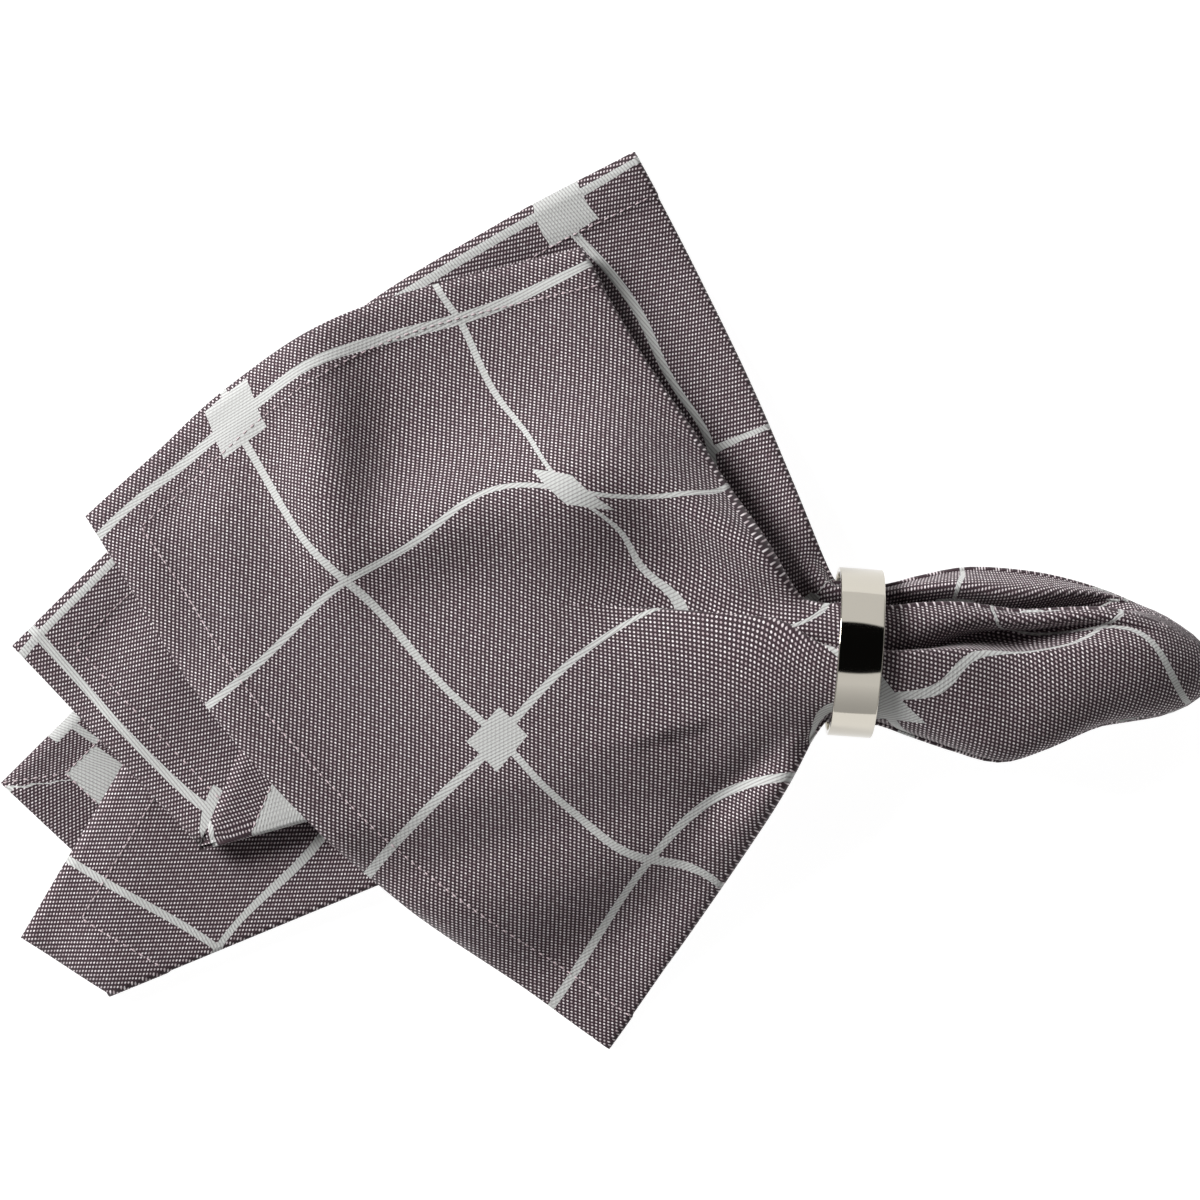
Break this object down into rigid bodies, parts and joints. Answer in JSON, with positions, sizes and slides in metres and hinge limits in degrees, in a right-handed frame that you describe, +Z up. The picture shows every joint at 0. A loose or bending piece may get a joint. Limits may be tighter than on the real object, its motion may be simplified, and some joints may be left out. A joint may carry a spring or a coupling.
{
  "type": "cloth napkin in a ring",
  "caption": "Square checked cloth napkin drawn through a plain metal ring, its corners fanned out in folded leaves and its gathered middle standing out as a tip.",
  "frame": {"origin": "middle of the bounding box on the table that the napkin lies on", "axes": "+Z up from the table, +X along the ring's axis towards the gathered tip, +Y across the fan of leaves"},
  "size_m": [0.3, 0.2238, 0.0412],
  "materials": {
    "cloth": "woven cotton, matte, plum and white threads with a white windowpane check",
    "ring_metal": "polished"
  },
  "bodies": {
    "root": {"napkin_cloth": "cloth", "napkin_ring": "ring_metal"}
  },
  "joints": []
}
